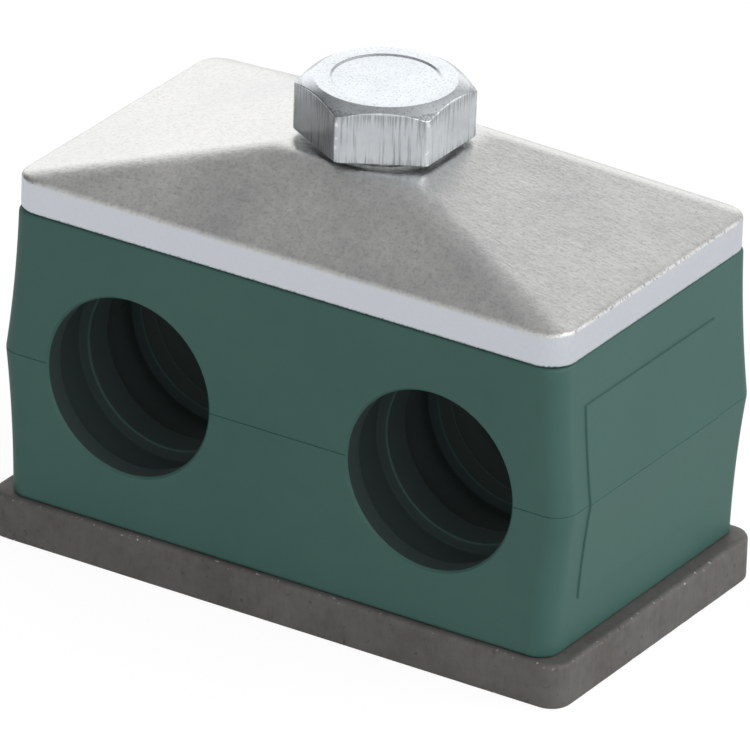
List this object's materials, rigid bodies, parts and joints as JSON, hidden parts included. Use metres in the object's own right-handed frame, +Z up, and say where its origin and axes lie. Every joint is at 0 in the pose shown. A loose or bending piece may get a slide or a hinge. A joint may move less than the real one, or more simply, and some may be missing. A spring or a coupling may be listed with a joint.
{
  "type": "twin tube clamp",
  "caption": "Twin tube clamp: ribbed plastic clamp halves held between a weld plate and a pressed cover plate by a hexagon head screw.",
  "frame": {"origin": "centre of the weld plate's underside", "axes": "+X along the row of the two tube bores, +Y along the tubes, +Z up along the screw"},
  "size_m": [0.0556, 0.031, 0.0432],
  "materials": {
    "raw_steel": "hot rolled, bare",
    "green_plastic": "moulded, satin",
    "zinc_sheet": "zinc plated pressing",
    "zinc_screw": "zinc plated, cold headed"
  },
  "bodies": {
    "base": {"weld_plate": "raw_steel", "threaded_bush": "raw_steel", "lower_clamp_half": "green_plastic"},
    "top": {"upper_clamp_half": "green_plastic", "cover_plate": "zinc_sheet"},
    "screw": {"hex_bolt": "zinc_screw"}
  },
  "joints": [
    {"name": "clamp_lift", "type": "slide", "parent": "base", "child": "top", "axis": [0, 0, 1], "range_m": [0, 0.00625]},
    {"name": "screw_turn", "type": "hinge", "parent": "top", "child": "screw", "pos_m": [0, 0, 0.0379], "axis": [0, 0, 1], "range_deg": [0, 1800.01]}
  ],
  "couplings": [
    {"joint": "screw_turn", "follows": "clamp_lift", "rad_per_m": 5026.5}
  ]
}
